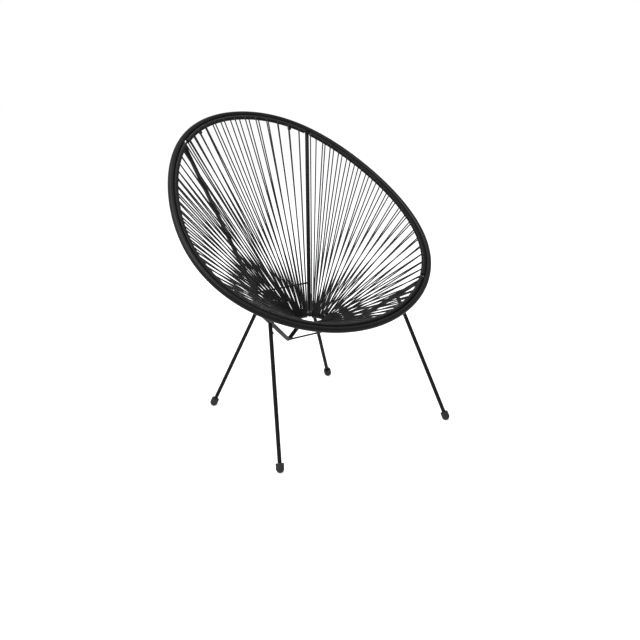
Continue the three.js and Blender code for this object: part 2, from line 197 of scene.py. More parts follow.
def tree_input(tree, name, kind):
    return tree.interface.new_socket(name, in_out="INPUT", socket_type=kind).identifier


def soft_edges(tree, geometry, sharpest):
    """Smooth shading, but for the edges that turn by more than the sharpest angle."""
    smooth = add_node(tree, "GeometryNodeSetShadeSmooth", {"Geometry": geometry})
    angle = add_node(tree, "GeometryNodeInputMeshEdgeAngle")
    crisp = add_node(tree, "FunctionNodeCompare", {
        0: angle.outputs["Unsigned Angle"], 1: sharpest}, operation="GREATER_THAN")
    edges = add_node(tree, "GeometryNodeSetShadeSmooth", {
        "Geometry": smooth.outputs[0], "Selection": crisp.outputs[0], "Shade Smooth": False}, domain="EDGE")
    return edges.outputs[0]


def finish_tree(tree, geometry, finish):
    real = add_node(tree, "GeometryNodeRealizeInstances", {0: geometry})
    coated = add_node(tree, "GeometryNodeSetMaterial", {"Geometry": real.outputs[0], "Material": finish})
    tree.interface.new_socket("Geometry", in_out="OUTPUT", socket_type="NodeSocketGeometry")
    add_node(tree, "NodeGroupOutput", {0: coated.outputs[0]})


# Rods follow paths: each path is a chain of edges, and the tree sweeps a round section along
# it. It keeps the place on the straightened rod, so that a pattern can run lengthwise.
rod_tree = bpy.data.node_groups.new("rod_along_path", "GeometryNodeTree")
rod_inputs = {name: tree_input(rod_tree, name, kind) for name, kind in (
    ("Path", "NodeSocketGeometry"), ("Radius", "NodeSocketFloat"), ("Sides", "NodeSocketInt"),
    ("Ripple", "NodeSocketFloat"), ("Ripple Length", "NodeSocketFloat"), ("Finish", "NodeSocketMaterial"))}
rod_in = add_node(rod_tree, "NodeGroupInput")
rod_curve = add_node(rod_tree, "GeometryNodeMeshToCurve", {0: rod_in.outputs["Path"]})
rod_length = add_node(rod_tree, "GeometryNodeSplineParameter")
rod_phase = add_node(rod_tree, "ShaderNodeMath", {
    0: rod_length.outputs["Length"], 1: rod_in.outputs["Ripple Length"]}, operation="DIVIDE")
rod_wave = add_node(rod_tree, "ShaderNodeMath", {0: rod_phase.outputs[0], 1: math.tau}, operation="MULTIPLY")
rod_sine = add_node(rod_tree, "ShaderNodeMath", {0: rod_wave.outputs[0]}, operation="SINE")
rod_swell = add_node(rod_tree, "ShaderNodeMath", {
    0: rod_sine.outputs[0], 1: rod_in.outputs["Ripple"], 2: 1.0}, operation="MULTIPLY_ADD")
rod_sized = add_node(rod_tree, "GeometryNodeSetCurveRadius", {
    "Curve": rod_curve.outputs[0], "Radius": rod_swell.outputs[0]})
rod_kept = add_node(rod_tree, "GeometryNodeCaptureAttribute", {0: rod_sized.outputs[0]})
rod_kept.capture_items.new("FLOAT", "Length")
rod_tree.links.new(rod_length.outputs["Length"], rod_kept.inputs["Length"])
rod_round = add_node(rod_tree, "GeometryNodeCurvePrimitiveCircle", {
    "Resolution": rod_in.outputs["Sides"], "Radius": rod_in.outputs["Radius"]}, mode="RADIUS")
rod_section = add_node(rod_tree, "GeometryNodeCaptureAttribute", {0: rod_round.outputs[0]})
rod_section.capture_items.new("VECTOR", "Section")
section_place = add_node(rod_tree, "GeometryNodeInputPosition")
rod_tree.links.new(section_place.outputs[0], rod_section.inputs["Section"])
rod_swept = add_node(rod_tree, "GeometryNodeCurveToMesh", {
    "Curve": rod_kept.outputs[0], "Profile Curve": rod_section.outputs[0], "Fill Caps": True})
rod_parts = add_node(rod_tree, "ShaderNodeSeparateXYZ", {0: rod_section.outputs["Section"]})
rod_straight = add_node(rod_tree, "ShaderNodeCombineXYZ", {
    0: rod_parts.outputs["X"], 1: rod_parts.outputs["Y"], 2: rod_kept.outputs["Length"]})
rod_stored = add_node(rod_tree, "GeometryNodeStoreNamedAttribute", {
    "Geometry": rod_swept.outputs[0], "Name": "straight_place", "Value": rod_straight.outputs[0]},
    data_type="FLOAT_VECTOR", domain="POINT")
rod_smooth = soft_edges(rod_tree, rod_stored.outputs[0], ROD_SHARPEST_SMOOTHED)
finish_tree(rod_tree, rod_smooth, rod_in.outputs["Finish"])


def made_solid(obj, tree, inputs, values):
    """Runs a tree on the object, and keeps the result as its plain mesh."""
    modifier = obj.modifiers.new("shape", "NODES")
    modifier.node_group = tree
    for name, value in values.items():
        modifier[inputs[name]] = value
    graph = bpy.context.evaluated_depsgraph_get()
    result = bpy.data.meshes.new_from_object(
        obj.evaluated_get(graph), preserve_all_data_layers=True, depsgraph=graph)
    obj.modifiers.clear()
    obj.data = result
    return obj


def rods(name, paths, finish, closed=False, **sizes):
    """One piece of round rod along each path of points, all in one object."""
    points, edges = [], []
    for path in paths:
        first = len(points)
        points += path
        edges += [(i, i + 1) for i in range(first, len(points) - 1)]
        if closed:
            edges.append((len(points) - 1, first))
    mesh = bpy.data.meshes.new(name)
    mesh.from_pydata(points, edges, [])
    values = {key.replace("_", " ").title(): value for key, value in sizes.items()}
    values["Finish"] = finish
    return made_solid(link(bpy.data.objects.new(name, mesh)), rod_tree, rod_inputs, values)


# The grain shared by the coat, cord, rubber and screw finishes: a fine bump, and broad soft
# changes of tone and gloss. Each finish places it with its own sizes and colours.
grain = bpy.data.node_groups.new("surface_grain", "ShaderNodeTree")
for name, kind in (("Place", "NodeSocketVector"), ("Grain Size", "NodeSocketFloat"),
                   ("Patch Size", "NodeSocketFloat"), ("Depth", "NodeSocketFloat"),
                   ("Dark", "NodeSocketColor"), ("Light", "NodeSocketColor"),
                   ("Smoothest", "NodeSocketFloat"), ("Roughest", "NodeSocketFloat")):
    tree_input(grain, name, kind)
for name, kind in (("Colour", "NodeSocketColor"), ("Roughness", "NodeSocketFloat"),
                   ("Normal", "NodeSocketVector")):
    grain.interface.new_socket(name, in_out="OUTPUT", socket_type=kind)
grain_in = add_node(grain, "NodeGroupInput")
fine_scale = add_node(grain, "ShaderNodeMath", {
    0: 1.0, 1: grain_in.outputs["Grain Size"]}, operation="DIVIDE")
patch_scale = add_node(grain, "ShaderNodeMath", {
    0: 1.0, 1: grain_in.outputs["Patch Size"]}, operation="DIVIDE")
fine_noise = add_node(grain, "ShaderNodeTexNoise", {
    "Vector": grain_in.outputs["Place"], "Scale": fine_scale.outputs[0], **GRAIN_NOISE})
patch_noise = add_node(grain, "ShaderNodeTexNoise", {
    "Vector": grain_in.outputs["Place"], "Scale": patch_scale.outputs[0], **PATCH_NOISE})
patch_spread = add_node(grain, "ShaderNodeMapRange", {
    "Value": patch_noise.outputs["Fac"], **PATCH_FADE}, interpolation_type="SMOOTHSTEP")
# A Mix node's inputs 6 and 7, and its output 2, are those for colours.
grain_colour = add_node(grain, "ShaderNodeMix", {
    "Factor": patch_spread.outputs[0], 6: grain_in.outputs["Dark"], 7: grain_in.outputs["Light"]},
    data_type="RGBA")
grain_both = add_node(grain, "ShaderNodeMath", {
    0: fine_noise.outputs["Fac"], 1: patch_spread.outputs[0]}, operation="ADD")
grain_rough = add_node(grain, "ShaderNodeMapRange", {
    "Value": grain_both.outputs[0], **GLOSS_FADE,
    "To Min": grain_in.outputs["Smoothest"], "To Max": grain_in.outputs["Roughest"]})
grain_bump = add_node(grain, "ShaderNodeBump", {
    "Height": fine_noise.outputs["Fac"], "Distance": grain_in.outputs["Depth"], "Strength": 1})
add_node(grain, "NodeGroupOutput", {
    "Colour": grain_colour.outputs[2], "Roughness": grain_rough.outputs[0], "Normal": grain_bump.outputs[0]})


def grained(name, place, sizes, colours, roughness, shader_values):
    """A finish made of the shared grain. Place is a function that gives the grain's place."""
    grain_size, patch_size, depth = sizes
    dark, light = colours
    smoothest, roughest = roughness
    finish = bpy.data.materials.new(name)
    finish.use_nodes = True
    tree = finish.node_tree
    tree.nodes.clear()
    surface = add_node(tree, "ShaderNodeGroup", {
        "Place": place(tree), "Grain Size": grain_size, "Patch Size": patch_size, "Depth": depth,
        "Dark": dark, "Light": light, "Smoothest": smoothest, "Roughest": roughest}, node_tree=grain)
    shader = add_node(tree, "ShaderNodeBsdfPrincipled", {
        "Base Color": surface.outputs["Colour"], "Roughness": surface.outputs["Roughness"],
        "Normal": surface.outputs["Normal"], **shader_values})
    add_node(tree, "ShaderNodeOutputMaterial", {"Surface": shader.outputs[0]})
    return finish


def on_object(tree):
    return add_node(tree, "ShaderNodeTexCoord").outputs["Object"]


frame_coat = grained("frame_powder_coat", on_object, (COAT_GRAIN, FRAME_COAT_PATCH, COAT_DEPTH),
                     COAT_COLOURS, COAT_ROUGHNESS, {"Specular IOR Level": COAT_SHINE})


def place_piece(piece, slot, *nodes):
    """The piece rides on the one body, and stands for the solids named with it."""
    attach(piece, "root")
    if nodes:
        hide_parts(*nodes)


def rim_loop(inset):
    return [rim_place(math.tau * i / RIM_STATIONS, inset)[0] for i in range(RIM_STATIONS)]


rim_tube = rods("rim_tube_bent", [rim_loop(0)], frame_coat, closed=True,
                radius=RIM_TUBE_RADIUS, sides=RIM_SIDES)
place_piece(rim_tube, "frame_coat", "rim_tube")
cord_rod = rods("rim_rod_bent", [rim_loop(CORD_ROD_INSET)], frame_coat, closed=True,
                radius=CORD_ROD_RADIUS, sides=ROD_SIDES)
place_piece(cord_rod, "frame_coat", "rim_cord_rod")

# Centre ring: a small hoop of steel rod, welded closed and coated with the frame. It gathers
# every loop of cord at the bottom of the seat, and the four struts are welded under it.
RING_RADIUS = 0.046
RING_ROD_RADIUS = 0.004
RING_STATIONS = 120


def ring_point(angle):
    return RING_CENTRE + Vector((RING_RADIUS * math.sin(angle), RING_RADIUS * math.cos(angle), 0))


ring_loop = [ring_point(math.tau * i / RING_STATIONS) for i in range(RING_STATIONS)]
ring = rods("ring_bent", [ring_loop], frame_coat, closed=True, radius=RING_ROD_RADIUS, sides=ROD_SIDES)
place_piece(ring, "frame_coat", "centre_ring")

# Struts: four lengths of solid rod. Each is welded to the rim tube, passes under the cord rod,
# runs down to a low bend outside the ring and turns up again to be welded under the ring.
STRUT_RADIUS = 0.0058
STRUT_BEND_RADIUS = 0.015
STRUT_BEND_STATIONS = 14
STRUT_SIDES = 24
WELD_GAP = 0.0003
FRONT_STRUT = {"rim_angle": math.radians(137.3), "low_x": 0.0965, "low_y": -0.035, "low_drop": 0.03}
REAR_STRUT = {"rim_angle": math.radians(39.2), "low_x": 0.07, "low_y": 0.105, "low_drop": 0.02}


def strut_rim_end(low, rim_angle):
    """Upper end of a strut whose line from the low bend passes just under the cord rod."""
    tube, tangent, inward = rim_place(rim_angle, 0)
    rod = rim_place(rim_angle, CORD_ROD_INSET)[0]
    reach = CORD_ROD_RADIUS + STRUT_RADIUS + WELD_GAP

    def flat(v):
        return Vector((v.dot(inward), v.dot(RIM_NORMAL)))

    from_rod = flat(low - rod)
    far = from_rod.length_squared
    to_rod = math.sqrt(far - reach ** 2)
    touch = from_rod * (reach ** 2 / far) + Vector((from_rod.y, -from_rod.x)) * (reach * to_rod / far)
    run = (touch - from_rod).normalized()
    to_tube = flat(tube - low).dot(run)
    sideways = (rod - low).dot(tangent) * to_tube / to_rod
    return low + inward * (run.x * to_tube) + RIM_NORMAL * (run.y * to_tube) + tangent * sideways


def bent_path(start, corner, end, radius, steps):
    """Two straight stretches, with a round bend where they meet."""
    a, b = (start - corner).normalized(), (end - corner).normalized()
    half = a.angle(b) / 2
    centre = corner + (a + b).normalized() * (radius / math.sin(half))
    first = corner + a * (radius / math.tan(half)) - centre
    last = corner + b * (radius / math.tan(half)) - centre
    axis, sweep = first.cross(last), first.angle(last)
    return [start, *(centre + Quaternion(axis, sweep * i / steps) @ first for i in range(steps + 1)), end]


class Strut:
    """One strut's low bend, its ends on the rim and on the ring, and its path between them."""

    def __init__(self, side, spec):
        self.low = RING_CENTRE + Vector((side * spec["low_x"], spec["low_y"], -spec["low_drop"]))
        self.rim_angle = side * spec["rim_angle"]
        self.rim_end = strut_rim_end(self.low, self.rim_angle)
        self.way_up = (self.rim_end - self.low).normalized()
        self.ring_angle = math.atan2(self.low.x - RING_CENTRE.x, self.low.y - RING_CENTRE.y)
        self.path = bent_path(self.rim_end, self.low, ring_point(self.ring_angle),
                              STRUT_BEND_RADIUS, STRUT_BEND_STATIONS)

    def at_rise(self, rise):
        """Point of the long stretch at a rise above the low bend."""
        return self.low.lerp(self.rim_end, rise / (self.rim_end.z - self.low.z))


# Left and right are those of someone who stands in front of the chair.
HANDS = {"left": -1, "right": 1}
struts = {f"{row}_{hand}": Strut(side, spec)
          for row, spec in (("front", FRONT_STRUT), ("rear", REAR_STRUT)) for hand, side in HANDS.items()}
for place, strut in struts.items():
    piece = rods(f"strut_rod_{place}", [strut.path], frame_coat, radius=STRUT_RADIUS, sides=STRUT_SIDES)
    place_piece(piece, "frame_coat", f"strut_{place}")

# Weld beads: a small rippled bead of steel runs round both ends of each strut and of each tie
# rod, where they are welded on. The beads are under the coat, so they have its finish.
BEAD_RADIUS = 0.0011
BEAD_RIPPLE = 0.16
BEAD_RIPPLE_LENGTH = 0.0019
BEAD_SIDES = 8
JUNCTION_STATIONS = 48


def junction(start, along, radius, centre, tangent, other_radius):
    """The closed line where a rod that comes from start meets the round of another one."""
    side = along.orthogonal().normalized()
    up = along.cross(side)
    line = []
    for i in range(JUNCTION_STATIONS):
        a = math.tau * i / JUNCTION_STATIONS
        point = start + (side * math.cos(a) + up * math.sin(a)) * radius
        flat_way = along - tangent * along.dot(tangent)
        off = point - centre
        flat_off = off - tangent * off.dot(tangent)
        b = flat_off.dot(flat_way) / flat_way.length_squared
        c = (flat_off.length_squared - other_radius ** 2) / flat_way.length_squared
        line.append(point + along * (-b - math.sqrt(max(b * b - c, 0))))
    return line


beads = []
for strut in struts.values():
    tube, tube_way, _ = rim_place(strut.rim_angle, 0)
    beads.append(junction(strut.low, strut.way_up, STRUT_RADIUS, tube, tube_way, RIM_TUBE_RADIUS))
    ring_way = Vector((math.cos(strut.ring_angle), -math.sin(strut.ring_angle), 0))
    last_bend, ring_end = strut.path[-2:]
    beads.append(junction(last_bend, (ring_end - last_bend).normalized(), STRUT_RADIUS,
                          ring_end, ring_way, RING_ROD_RADIUS))


def weld_beads(name, lines):
    piece = rods(name, lines, frame_coat, closed=True, radius=BEAD_RADIUS, sides=BEAD_SIDES,
                 ripple=BEAD_RIPPLE, ripple_length=BEAD_RIPPLE_LENGTH)
    place_piece(piece, "frame_coat")


weld_beads("weld_beads_struts", beads)

# Tie rods: two thin straight rods that hold each pair of struts apart, one between the front
# struts' low bends and one higher up between the rear struts. Their ends are welded.
TIE_ROD_RADIUS = 0.0025
FRONT_TIE_RISE = 0
REAR_TIE_RISE = 0.08

for row, rise in (("front", FRONT_TIE_RISE), ("rear", REAR_TIE_RISE)):
    pair = [struts[f"{row}_{hand}"] for hand in HANDS]
    left_end, right_end = (strut.at_rise(rise) for strut in pair)
    way = (right_end - left_end).normalized()
    inner = way * (STRUT_RADIUS - TIE_ROD_RADIUS)
    piece = rods(f"tie_rod_straight_{row}", [[left_end + inner, right_end - inner]], frame_coat,
                 radius=TIE_ROD_RADIUS, sides=ROD_SIDES)
    place_piece(piece, "frame_coat", f"tie_rod_{row}")
    weld_beads(f"weld_beads_tie_{row}", [
        junction(right_end, -way, TIE_ROD_RADIUS, left_end, pair[0].way_up, STRUT_RADIUS),
        junction(left_end, way, TIE_ROD_RADIUS, right_end, pair[1].way_up, STRUT_RADIUS)])

# Leg pins: short steel pins welded under the struts, in line with the legs. Each is hidden in
# the bored top of its leg, and takes the thread of the leg's screw.
FRONT_LEG = {"foot_x": 0.28, "foot_y": -0.27, "joint_rise": 0.096}
REAR_LEG = {"foot_x": 0.206, "foot_y": 0.2, "joint_rise": 0.051}
PIN_RADIUS = 0.0035
PIN_LENGTH = 0.048
PIN_START = 0.0045
PIN_CHAMFER = 0.0008
CAP_RADIUS = 0.011
CAP_FLAT = 0.0007
TURNED_SIDES = 36
TURNED_SHARPEST_SMOOTHED = math.radians(32)


def turned_mesh(name, profile, sides):
    """A closed body turned about +Z. Its (radius, height) profile starts and ends on the axis."""
    body = bmesh.new()
    hoops = []
    for radius, height in profile:
        angles = [math.tau * i / sides for i in range(sides)] if radius else [0]
        hoops.append([body.verts.new((radius * math.cos(a), radius * math.sin(a), height)) for a in angles])
    for one, other in zip(hoops, hoops[1:]):
        for i in range(sides):
            corners = (one[i % len(one)], one[(i + 1) % len(one)],
                       other[(i + 1) % len(other)], other[i % len(other)])
            body.faces.new(dict.fromkeys(corners))
    bmesh.ops.recalc_face_normals(body, faces=body.faces)
    mesh = bpy.data.meshes.new(name)
    body.to_mesh(mesh)
    body.free()
    return mesh


# Like pieces stand on points: the tree sets the pattern at each point, turned by the
# point's own angles. No part of it may lie below the floor, so a round sole comes out flat.
FLOOR_HEIGHT = 0.0
stand_tree = bpy.data.node_groups.new("pattern_on_points", "GeometryNodeTree")
stand_inputs = {name: tree_input(stand_tree, name, kind) for name, kind in (
    ("Points", "NodeSocketGeometry"), ("Pattern", "NodeSocketObject"), ("Lowest", "NodeSocketFloat"),
    ("Finish", "NodeSocketMaterial"))}
stand_in = add_node(stand_tree, "NodeGroupInput")
stand_pattern = add_node(stand_tree, "GeometryNodeObjectInfo", {"Object": stand_in.outputs["Pattern"]})
stand_turn = add_node(stand_tree, "GeometryNodeInputNamedAttribute", {
    "Name": "turn"}, data_type="FLOAT_VECTOR")
stand_rotation = add_node(stand_tree, "FunctionNodeEulerToRotation", {0: stand_turn.outputs[0]})
stand_set = add_node(stand_tree, "GeometryNodeInstanceOnPoints", {
    "Points": stand_in.outputs["Points"], "Instance": stand_pattern.outputs["Geometry"],
    "Rotation": stand_rotation.outputs[0]})
stand_real = add_node(stand_tree, "GeometryNodeRealizeInstances", {0: stand_set.outputs[0]})
stand_place = add_node(stand_tree, "GeometryNodeInputPosition")
stand_parts = add_node(stand_tree, "ShaderNodeSeparateXYZ", {0: stand_place.outputs[0]})
stand_low = add_node(stand_tree, "ShaderNodeMath", {
    0: stand_parts.outputs["Z"], 1: stand_in.outputs["Lowest"]}, operation="MAXIMUM")
stand_clear = add_node(stand_tree, "ShaderNodeCombineXYZ", {
    0: stand_parts.outputs["X"], 1: stand_parts.outputs["Y"], 2: stand_low.outputs[0]})
stand_flat = add_node(stand_tree, "GeometryNodeSetPosition", {
    "Geometry": stand_real.outputs[0], "Position": stand_clear.outputs[0]})
stand_smooth = soft_edges(stand_tree, stand_flat.outputs[0], TURNED_SHARPEST_SMOOTHED)
finish_tree(stand_tree, stand_smooth, stand_in.outputs["Finish"])


def stand_pieces(name, pattern_mesh, places, finish):
    """Sets a copy of the pattern at each (point, direction), with its +Z along the direction."""
    pattern = link(bpy.data.objects.new(f"{name}_pattern", pattern_mesh))
    mesh = bpy.data.meshes.new(name)
    mesh.from_pydata([point for point, _ in places], [], [])
    turn = mesh.attributes.new("turn", "FLOAT_VECTOR", "POINT")
    for value, (_, direction) in zip(turn.data, places):
        value.vector = direction.to_track_quat("Z", "Y").to_euler()
    piece = made_solid(link(bpy.data.objects.new(name, mesh)), stand_tree, stand_inputs, {
        "Pattern": pattern, "Lowest": FLOOR_HEIGHT, "Finish": finish})
    bpy.data.objects.remove(pattern)
    return piece


class Leg:
    """The middle of one leg's round sole, its joint on the strut, and its ways up and inwards."""

    def __init__(self, side, spec, strut):
        self.foot = Vector((side * spec["foot_x"], RING_CENTRE.y + spec["foot_y"], CAP_RADIUS - CAP_FLAT))
        self.joint = strut.at_rise(spec["joint_rise"])
        self.up = (self.joint - self.foot).normalized()
        inner = Vector((-self.foot.x, 0, 0))
        self.inner = (inner - self.up * inner.dot(self.up)).normalized()


legs = {f"{row}_{hand}": Leg(side, spec, struts[f"{row}_{hand}"])
        for row, spec in (("front", FRONT_LEG), ("rear", REAR_LEG)) for hand, side in HANDS.items()}
pin_profile = ((0, PIN_START), (PIN_RADIUS, PIN_START), (PIN_RADIUS, PIN_LENGTH - PIN_CHAMFER),
               (PIN_RADIUS - PIN_CHAMFER, PIN_LENGTH), (0, PIN_LENGTH))
pins = stand_pieces("leg_pins", turned_mesh("pin", pin_profile, TURNED_SIDES),
                    [(leg.joint, -leg.up) for leg in legs.values()], frame_coat)
place_piece(pins, "frame_coat", *(f"leg_pin_{place}" for place in legs))

# Legs: four straight lengths of steel, coated like the frame but taken off for packing, so
# their coat is its own. Each is bored to slide over its pin, and notched to fit the strut.
LEG_RADIUS = 0.0055
SLIDE_GAP = 0.0003
CAP_BOTTOM_WALL = 0.007
LEG_COAT_PATCH = 0.045

leg_coat = grained("leg_powder_coat", on_object, (COAT_GRAIN, LEG_COAT_PATCH, COAT_DEPTH),
                   COAT_COLOURS, COAT_ROUGHNESS, {"Specular IOR Level": COAT_SHINE})


def notched_leg(name, leg, strut):
    """A round bar from the cap's bore up to the strut, with the pin's bore in its notched top."""
    bottom = leg.foot + leg.up * (CAP_BOTTOM_WALL - CAP_RADIUS + SLIDE_GAP)
    notch = [junction(bottom, leg.up, radius, leg.joint, strut.way_up, STRUT_RADIUS + SLIDE_GAP)
             for radius in (LEG_RADIUS, PIN_RADIUS + SLIDE_GAP)]
    bore_floor = leg.joint - leg.up * (PIN_LENGTH + SLIDE_GAP)
    hoops = [[p - leg.up * (p - bottom).dot(leg.up) for p in notch[0]], *notch,
             [p - leg.up * (p - bore_floor).dot(leg.up) for p in notch[1]]]
    count = len(notch[0])
    corners = [bottom, *(p for hoop in hoops for p in hoop), bore_floor]
    last = len(corners) - 1
    faces = []
    for i in range(count):
        j = (i + 1) % count
        faces.append((0, 1 + j, 1 + i))
        for k in range(len(hoops) - 1):
            low, high = 1 + k * count, 1 + (k + 1) * count
            faces.append((low + i, low + j, high + j, high + i))
        faces.append((last - count + i, last - count + j, last))
    mesh = bpy.data.meshes.new(name)
    mesh.from_pydata(corners, [], faces)
    mesh.materials.append(leg_coat)
    mesh.shade_smooth()
    mesh.set_sharp_from_angle(angle=ROD_SHARPEST_SMOOTHED)
    return link(bpy.data.objects.new(name, mesh))


for place, leg in legs.items():
    place_piece(notched_leg(f"leg_rod_{place}", leg, struts[place]), "leg_coat", f"leg_{place}")

# Leg screws: small blackened steel screws with a domed head and a recess for a key. Each goes
# through the leg's inner side into its pin, below the seat, where a key reaches it.
SCREW_RADIUS = 0.0018
SCREW_HEAD_RADIUS = 0.0036
SCREW_HEAD_HEIGHT = 0.002
SCREW_TIP = 0.002
SCREW_DROP = 0.028
SCREW_KEY_RADIUS = 0.0013
SCREW_KEY_DEPTH = 0.0011
SCREW_DOME_SHARES = ((1, 0.12), (0.97, 0.42), (0.86, 0.74), (0.68, 0.95), (0.55, 1))
SCREW_GRAIN = 0.0006
SCREW_PATCH = 0.004
SCREW_GRAIN_DEPTH = 0.00002
SCREW_COLOURS = ((0.018, 0.018, 0.02, 1), (0.04, 0.04, 0.043, 1))
SCREW_ROUGHNESS = (0.3, 0.45)
SCREW_METALLIC = 0.85

screw_steel = grained("blackened_screw_steel", on_object, (SCREW_GRAIN, SCREW_PATCH, SCREW_GRAIN_DEPTH),
                      SCREW_COLOURS, SCREW_ROUGHNESS, {"Metallic": SCREW_METALLIC})
head_seat = LEG_RADIUS + SLIDE_GAP
head_top = head_seat + SCREW_HEAD_HEIGHT
key_floor = head_top - SCREW_KEY_DEPTH
dome = [(SCREW_HEAD_RADIUS * wide, head_seat + SCREW_HEAD_HEIGHT * high) for wide, high in SCREW_DOME_SHARES]
screw_profile = ((0, SCREW_TIP), (SCREW_RADIUS, SCREW_TIP), (SCREW_RADIUS, head_seat),
                 (SCREW_HEAD_RADIUS, head_seat), *dome,
                 (SCREW_KEY_RADIUS, head_top), (SCREW_KEY_RADIUS, key_floor), (0, key_floor))
screws = stand_pieces("leg_screws", turned_mesh("screw", screw_profile, TURNED_SIDES),
                      [(leg.joint - leg.up * SCREW_DROP, leg.inner) for leg in legs.values()], screw_steel)
place_piece(screws, "screw_steel", *(f"leg_screw_{place}" for place in legs))

# Foot caps: moulded black rubber, pushed on to the legs. A flat shoulder with a small round
# edge, a short wall with a fine parting rib, and a round sole that is flat where it stands.
CAP_LENGTH = 0.025
CAP_SHOULDER = 0.0015
CAP_ROUND_STATIONS = 14
CAP_EDGE_STATIONS = 5
CAP_RIB = 0.00025
CAP_RIB_OUT_AND_UP_SHARES = ((0, 1), (1, 2), (1, 4), (0, 5))
RUBBER_GRAIN = 0.0009
RUBBER_PATCH = 0.012
RUBBER_GRAIN_DEPTH = 0.00006
RUBBER_COLOURS = ((0.0075, 0.0075, 0.0077, 1), (0.013, 0.013, 0.0132, 1))
RUBBER_ROUGHNESS = (0.6, 0.8)
RUBBER_SHINE = 0.3

cap_rubber = grained("cap_rubber", on_object, (RUBBER_GRAIN, RUBBER_PATCH, RUBBER_GRAIN_DEPTH),
                     RUBBER_COLOURS, RUBBER_ROUGHNESS, {"Specular IOR Level": RUBBER_SHINE})
cap_top = CAP_LENGTH - CAP_RADIUS
cap_bore = LEG_RADIUS + SLIDE_GAP
bore_bottom = CAP_BOTTOM_WALL - CAP_RADIUS
shoulder_in, shoulder_down = CAP_RADIUS - CAP_SHOULDER, cap_top - CAP_SHOULDER
cap_profile = []
for i in range(CAP_ROUND_STATIONS + 1):
    a = math.pi / 2 * i / CAP_ROUND_STATIONS
    cap_profile.append((CAP_RADIUS * math.sin(a), -CAP_RADIUS * math.cos(a)))
cap_profile += [(CAP_RADIUS + CAP_RIB * out, CAP_RIB * up) for out, up in CAP_RIB_OUT_AND_UP_SHARES]
for i in range(CAP_EDGE_STATIONS + 1):
    a = math.pi / 2 * i / CAP_EDGE_STATIONS
    cap_profile.append((shoulder_in + CAP_SHOULDER * math.cos(a), shoulder_down + CAP_SHOULDER * math.sin(a)))
cap_profile += [(cap_bore, cap_top), (cap_bore, bore_bottom), (0, bore_bottom)]
caps = stand_pieces("rubber_caps", turned_mesh("cap", cap_profile, TURNED_SIDES),
                    [(leg.foot, leg.up) for leg in legs.values()], cap_rubber)
place_piece(caps, "foot_rubber", *(f"foot_cap_{place}" for place in legs))

# Lacing: round black plastic cord, pulled taut. Each loop runs in over the cord rod to the top
# of the ring, half round its inner side, back underneath and round the rod again. Close turns
# of the cord cover the rod between the loops and in each loop's opening.
CORD_RADIUS = 0.0019
CORD_TOUCH = 0.0001
CORD_SIDES = 10
HALF_TURN_STATIONS = 7
ROD_SAMPLES = 720
STRUT_LANE_ON_ROD = 0.0153
STRUT_LANE_ON_RING = 0.013
RING_LAYER_STEP = 0.002
RING_CORD_STEP = math.radians(2)
RING_LOOP_SHARE = 0.25
RING_DRIFT_SHARE = 0.12
LACING_SEED = 5
BRIDGE_BEFORE_STRUT = 0.0095
BRIDGE_BEYOND_STRUT = 0.0165
BRIDGE_HALF_ON_RING = math.radians(5)
CORD_GRAIN = 0.0005
CORD_PATCH = 0.002
CORD_GRAIN_DEPTH = 0.00003
CORD_DRAW_SHARE = 0.03
CORD_COLOURS = ((0.003, 0.003, 0.0032, 1), (0.006, 0.006, 0.0063, 1))
CORD_ROUGHNESS = (0.34, 0.5)
CORD_SHINE = 0.16
# The four sections between the struts, from the rear left strut on. Ways in and out are groups
# of (count, first, last), with places in metres along the rod from the rim's top. The ring's arc
# between the same two struts holds on_arc loops, and panels is how many solids a section has.
SECTIONS = {
    "back": {"on_arc": 13, "panels": 2,
             "ways_in": ((2, -0.217, -0.188), (5, -0.157, -0.011), (6, 0.025, 0.199)),
             "ways_out": ((3, -0.2, -0.145), (11, -0.116, 0.201))},
    "right": {"on_arc": 15, "panels": 4,
              "ways_in": ((1, 0.2385, 0.2385), (20, 0.2805, 0.853)),
              "ways_out": ((20, 0.262, 0.842), (1, 0.866, 0.866))},
    "front": {"on_arc": 30, "panels": 3,
              "ways_in": ((18, 0.8905, 1.4221),),
              "ways_out": ((18, 0.9061, 1.4377),)},
    "left": {"on_arc": 15, "panels": 4,
             "ways_in": ((21, 1.4858, 2.0805),),
             "ways_out": ((20, 1.4895, 2.0674), (1, 2.0918, 2.0918))},
}


def along_cord(tree):
    """The place on the straightened cord, drawn out lengthwise as the cord was when extruded."""
    place = add_node(tree, "ShaderNodeAttribute", attribute_name="straight_place")
    return add_node(tree, "ShaderNodeMapping", {
        "Vector": place.outputs["Vector"], "Scale": (1, 1, CORD_DRAW_SHARE)}).outputs[0]


cord_plastic = grained("cord_plastic", along_cord, (CORD_GRAIN, CORD_PATCH, CORD_GRAIN_DEPTH),
                       CORD_COLOURS, CORD_ROUGHNESS, {"Specular IOR Level": CORD_SHINE})

rod_points = [rim_place(math.tau * i / ROD_SAMPLES, CORD_ROD_INSET)[0] for i in range(ROD_SAMPLES + 1)]
rod_lengths = [0.0]
for point, following in zip(rod_points, rod_points[1:]):
    rod_lengths.append(rod_lengths[-1] + (following - point).length)


def blend(a, b, share):
    return a + (b - a) * share


def length_at_angle(angle):
    """Length along the cord rod from the top to an angle, less than a turn."""
    place = abs(angle) / math.tau * ROD_SAMPLES
    i = int(place)
    length = rod_lengths[i] + (rod_lengths[min(i + 1, ROD_SAMPLES)] - rod_lengths[i]) * (place - i)
    return math.copysign(length, angle)


